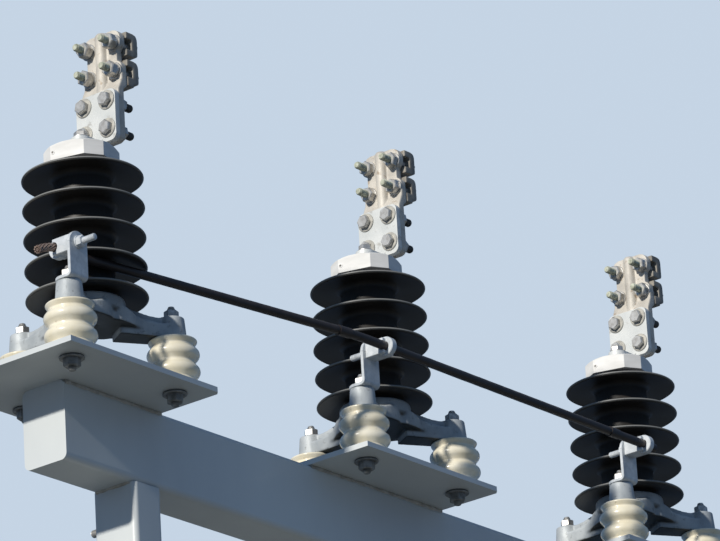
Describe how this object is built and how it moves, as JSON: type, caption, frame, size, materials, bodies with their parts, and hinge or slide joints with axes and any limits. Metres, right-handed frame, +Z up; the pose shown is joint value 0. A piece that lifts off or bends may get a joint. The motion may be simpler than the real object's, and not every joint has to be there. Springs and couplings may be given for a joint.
{
  "type": "three-phase surge arrester bank",
  "caption": "Surge arresters with ribbed black housings on insulating feet, in a row on a painted steel beam with posts, with line clamps on top and an earth cable along the front.",
  "frame": {"origin": "on the ground, midway between the two posts", "axes": "+X along the beam from the first arrester to the third, +Y across it away from the earth cable, +Z up"},
  "size_m": [1.6328, 0.4, 4.667],
  "materials": {
    "frame_paint": "pale grey paint, slightly weathered",
    "cream_resin": "glossy cream cast resin",
    "cast_grey": "matte sand-cast grey",
    "black_silicone": "smooth satin black",
    "light_metal": "light cast and machined, satin",
    "zinc_bolts": "galvanised, yellowish threads",
    "zinc_bar": "matte galvanised",
    "black_sleeve": "satin black sleeve",
    "bare_copper": "dull brown stranded copper"
  },
  "bodies": {
    "root": {"beam": "frame_paint", "beam_cap_left": "frame_paint", "beam_cap_right": "frame_paint", "post_left": "frame_paint", "post_right": "frame_paint", "post_base_left": "frame_paint", "post_base_right": "frame_paint", "earth_stud_left": "zinc_bolts", "earth_stud_right": "zinc_bolts", "mounting_plate_1": "frame_paint", "mounting_plate_2": "frame_paint", "mounting_plate_3": "frame_paint", "insulating_feet_1": "cream_resin", "insulating_feet_2": "cream_resin", "insulating_feet_3": "cream_resin", "foot_bolts_1": "zinc_bolts", "foot_bolts_2": "zinc_bolts", "foot_bolts_3": "zinc_bolts", "base_casting_1": "cast_grey", "base_casting_2": "cast_grey", "base_casting_3": "cast_grey", "housing_1": "black_silicone", "housing_2": "black_silicone", "housing_3": "black_silicone", "cap_1": "light_metal", "cap_2": "light_metal", "cap_3": "light_metal", "terminal_1": "light_metal", "terminal_2": "light_metal", "terminal_3": "light_metal", "clamp_body_1": "light_metal", "clamp_body_2": "light_metal", "clamp_body_3": "light_metal", "clamp_keepers_1": "light_metal", "clamp_keepers_2": "light_metal", "clamp_keepers_3": "light_metal", "terminal_bolts_1": "zinc_bolts", "terminal_bolts_2": "zinc_bolts", "terminal_bolts_3": "zinc_bolts", "cable_bracket_1": "zinc_bar", "cable_bracket_2": "zinc_bar", "cable_bracket_3": "zinc_bar", "cable_clamp_1": "zinc_bar", "cable_clamp_2": "zinc_bar", "cable_clamp_3": "zinc_bar", "earth_cable": "black_sleeve", "earth_cable_tail": "bare_copper"}
  },
  "joints": []
}
